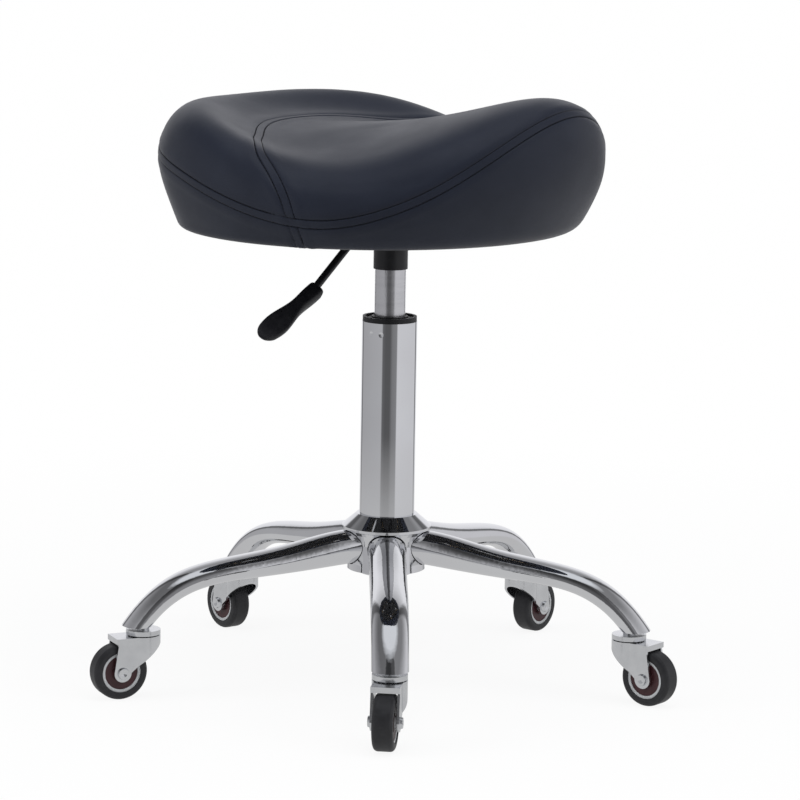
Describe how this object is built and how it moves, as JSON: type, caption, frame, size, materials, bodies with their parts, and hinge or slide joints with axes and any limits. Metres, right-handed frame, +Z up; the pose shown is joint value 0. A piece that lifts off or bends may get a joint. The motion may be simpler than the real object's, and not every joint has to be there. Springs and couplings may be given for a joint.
{
  "type": "rolling saddle stool",
  "caption": "Rolling saddle stool: padded saddle seat with a pommel on a gas lift, a height lever under the seat, and a chromed star base of bent legs on swivel casters.",
  "frame": {"origin": "on the floor under the column's axis, where the wheels stand", "axes": "+Z up along the column, -Y towards the front of the saddle, -X towards the sitter's right, where the height lever is"},
  "size_m": [0.509, 0.5322, 0.544],
  "materials": {
    "cover": "matte",
    "foam": "matte",
    "board": "matte",
    "felt": "matte",
    "chrome": "polished",
    "zinc": "satin",
    "steel": "satin",
    "black_metal": "satin",
    "black_plastic": "matte",
    "rubber": "matte",
    "tyre": "matte",
    "rim": "satin",
    "cap": "satin"
  },
  "bodies": {
    "base": {"outer_column": "chrome", "guide_bush": "black_plastic", "hub_socket": "steel", "hub_cover": "chrome", "thrust_washer_lower": "steel", "thrust_balls": "steel", "leg_1": "chrome", "leg_2": "chrome", "leg_3": "chrome", "leg_4": "chrome", "leg_5": "chrome", "stem_plugs": "black_plastic", "caster_stems": "zinc", "swivel_balls": "steel"},
    "lift_rod": {"piston_rod": "steel", "rod_clip": "steel", "piston": "black_plastic", "thrust_washer_upper": "steel", "rod_buffer": "rubber"},
    "seat": {"seat_cover": "cover", "seat_foam": "foam", "seat_board": "board", "dust_cover": "felt", "mount_dish": "black_metal", "taper_socket": "black_metal", "seat_bolts": "zinc", "tee_nuts": "zinc", "lever_bracket": "black_metal", "lever_pin": "steel", "gas_tube": "chrome", "rod_guide": "black_plastic"},
    "lever": {"lever_rod": "black_metal", "lever_paddle": "black_plastic"},
    "valve": {"valve_pin": "steel"},
    "caster_1": {"caster_fork_1": "zinc", "axle_1": "zinc"},
    "wheel_1": {"tyre_1": "tyre", "rim_1": "rim", "wheel_caps_1": "cap"},
    "caster_2": {"caster_fork_2": "zinc", "axle_2": "zinc"},
    "wheel_2": {"tyre_2": "tyre", "rim_2": "rim", "wheel_caps_2": "cap"},
    "caster_3": {"caster_fork_3": "zinc", "axle_3": "zinc"},
    "wheel_3": {"tyre_3": "tyre", "rim_3": "rim", "wheel_caps_3": "cap"},
    "caster_4": {"caster_fork_4": "zinc", "axle_4": "zinc"},
    "wheel_4": {"tyre_4": "tyre", "rim_4": "rim", "wheel_caps_4": "cap"},
    "caster_5": {"caster_fork_5": "zinc", "axle_5": "zinc"},
    "wheel_5": {"tyre_5": "tyre", "rim_5": "rim", "wheel_caps_5": "cap"}
  },
  "joints": [
    {"name": "seat_swivel", "type": "hinge", "parent": "base", "child": "lift_rod", "pos_m": [0, 0, 0.11], "axis": [0, 0, 1], "continuous": true},
    {"name": "seat_lift", "type": "slide", "parent": "lift_rod", "child": "seat", "axis": [0, 0, 1], "range_m": [-0.038, 0.082]},
    {"name": "lever_pull", "type": "hinge", "parent": "seat", "child": "lever", "pos_m": [-0.036, 0, 0.4141], "axis": [0, 1, 0], "range_deg": [0, 5], "stiffness_Nm_per_rad": 3},
    {"name": "valve_press", "type": "slide", "parent": "seat", "child": "valve", "axis": [0, 0, -1], "range_m": [0, 0.0032]},
    {"name": "caster_swivel_1", "type": "hinge", "parent": "base", "child": "caster_1", "pos_m": [0.229, 0, 0.058], "axis": [0, 0, 1], "continuous": true},
    {"name": "wheel_spin_1", "type": "hinge", "parent": "caster_1", "child": "wheel_1", "pos_m": [0.25249, -0.00082, 0.025], "axis": [0.0349, 0.9994, 0], "continuous": true},
    {"name": "caster_swivel_2", "type": "hinge", "parent": "base", "child": "caster_2", "pos_m": [0.07076, 0.21779, 0.058], "axis": [0, 0, 1], "continuous": true},
    {"name": "wheel_spin_2", "type": "hinge", "parent": "caster_2", "child": "wheel_2", "pos_m": [0.07803, 0.24014, 0.025], "axis": [-0.9511, 0.309, 0], "continuous": true},
    {"name": "caster_swivel_3", "type": "hinge", "parent": "base", "child": "caster_3", "pos_m": [-0.18526, 0.1346, 0.058], "axis": [0, 0, 1], "continuous": true},
    {"name": "wheel_spin_3", "type": "hinge", "parent": "caster_3", "child": "wheel_3", "pos_m": [-0.20541, 0.14671, 0.025], "axis": [-0.515, -0.8572, 0], "continuous": true},
    {"name": "caster_swivel_4", "type": "hinge", "parent": "base", "child": "caster_4", "pos_m": [-0.18526, -0.1346, 0.058], "axis": [0, 0, 1], "continuous": true},
    {"name": "wheel_spin_4", "type": "hinge", "parent": "caster_4", "child": "wheel_4", "pos_m": [-0.2062, -0.14527, 0.025], "axis": [0.454, -0.891, 0], "continuous": true},
    {"name": "caster_swivel_5", "type": "hinge", "parent": "base", "child": "caster_5", "pos_m": [0.07076, -0.21779, 0.058], "axis": [0, 0, 1], "continuous": true},
    {"name": "wheel_spin_5", "type": "hinge", "parent": "caster_5", "child": "wheel_5", "pos_m": [0.06953, -0.24126, 0.025], "axis": [0.9986, -0.0523, 0], "continuous": true}
  ],
  "couplings": [
    {"joint": "valve_press", "follows": "lever_pull", "m_per_rad": 0.036}
  ]
}
